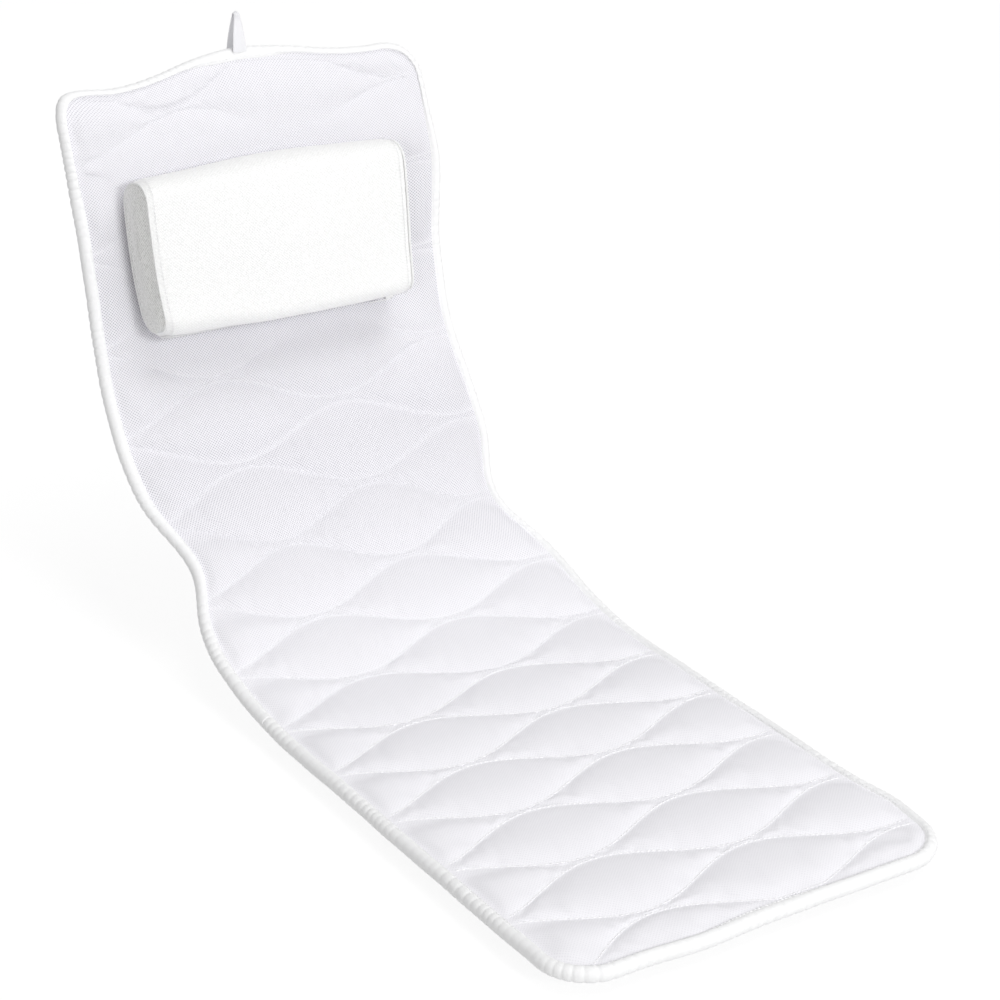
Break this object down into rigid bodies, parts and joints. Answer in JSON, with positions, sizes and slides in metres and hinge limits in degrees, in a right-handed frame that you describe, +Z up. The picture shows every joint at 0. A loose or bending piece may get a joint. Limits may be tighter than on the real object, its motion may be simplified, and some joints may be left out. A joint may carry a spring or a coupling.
{
  "type": "bath pillow",
  "caption": "Full-length quilted mesh bath mat that bends up the end of the bath, with a boxed head pillow, bound edge, hanging loop and suction cups underneath.",
  "frame": {"origin": "middle of the object's footprint, on the plane of the floor suction cups' lips", "axes": "+Y runs from the foot end to the head end, +Z is up, +X is to the right of a person looking from the foot to the head"},
  "size_m": [0.4, 0.9002, 0.5684],
  "materials": {
    "mesh_fabric": "matte",
    "wadding": "matte",
    "backing_fabric": "matte",
    "binding_tape": "matte",
    "pillow_fabric": "matte",
    "foam": "matte",
    "ribbon": "satin",
    "zip_plastic": "satin",
    "hook_nylon": "matte",
    "vinyl": "gloss"
  },
  "bodies": {
    "seat": {"seat_face": "mesh_fabric", "seat_fill": "wadding", "seat_backing": "backing_fabric", "seat_binding_left": "binding_tape", "seat_binding_right": "binding_tape", "bend_face": "mesh_fabric", "bend_fill": "wadding", "bend_backing": "backing_fabric", "bend_binding_left": "binding_tape", "bend_binding_right": "binding_tape", "seat_cup_1": "vinyl", "seat_patch_1": "backing_fabric", "seat_cup_2": "vinyl", "seat_patch_2": "backing_fabric", "seat_cup_3": "vinyl", "seat_patch_3": "backing_fabric", "seat_cup_4": "vinyl", "seat_patch_4": "backing_fabric"},
    "foot": {"foot_face": "mesh_fabric", "foot_fill": "wadding", "foot_backing": "backing_fabric", "foot_binding": "binding_tape", "foot_cup_1": "vinyl", "foot_patch_1": "backing_fabric", "foot_cup_2": "vinyl", "foot_patch_2": "backing_fabric", "foot_cup_3": "vinyl", "foot_patch_3": "backing_fabric", "foot_cup_4": "vinyl", "foot_patch_4": "backing_fabric"},
    "back": {"back_face": "mesh_fabric", "back_fill": "wadding", "back_backing": "backing_fabric", "back_binding": "binding_tape", "loop_strip_upper": "hook_nylon", "loop_strip_lower": "hook_nylon", "back_cup_1": "vinyl", "back_patch_1": "backing_fabric", "back_cup_2": "vinyl", "back_patch_2": "backing_fabric", "back_cup_3": "vinyl", "back_patch_3": "backing_fabric", "back_cup_4": "vinyl", "back_patch_4": "backing_fabric"},
    "hanging_loop": {"hanging_loop": "ribbon"},
    "pillow": {"pillow_core": "foam", "pillow_wrap": "pillow_fabric", "pillow_back_panel": "pillow_fabric", "pillow_end_left": "pillow_fabric", "pillow_end_right": "pillow_fabric", "pillow_piping_left": "pillow_fabric", "pillow_piping_right": "pillow_fabric", "zip_tape": "zip_plastic", "hook_strip_upper": "hook_nylon", "hook_strip_lower": "hook_nylon"},
    "zip_slider": {"zip_slider": "zip_plastic"},
    "zip_pull": {"zip_pull": "zip_plastic"}
  },
  "joints": [
    {"name": "back_fold", "type": "hinge", "parent": "seat", "child": "back", "pos_m": [0, 0.22955, 0.09518], "axis": [1, 0, 0], "range_deg": [-60, 25], "deforming": ["bend_face", "bend_fill", "bend_backing", "bend_binding_left", "bend_binding_right"]},
    {"name": "foot_fold", "type": "hinge", "parent": "seat", "child": "foot", "pos_m": [0, -0.11955, 0.0328], "axis": [-1, 0, 0], "range_deg": [0, 165]},
    {"name": "pillow_peel", "type": "slide", "parent": "back", "child": "pillow", "axis": [0, -0.9781, 0.2079], "range_m": [0, 0.12]},
    {"name": "loop_swing", "type": "hinge", "parent": "back", "child": "hanging_loop", "pos_m": [0, 0.44284, 0.52331], "axis": [1, 0, 0], "range_deg": [-73, 17]},
    {"name": "zip_travel", "type": "slide", "parent": "pillow", "child": "zip_slider", "axis": [-1, 0, 0], "range_m": [0, 0.232]},
    {"name": "zip_pull_swing", "type": "hinge", "parent": "zip_slider", "child": "zip_pull", "pos_m": [0.113, 0.34125, 0.28022], "axis": [0, -0.9202, 0.3915], "range_deg": [0, 150]}
  ]
}
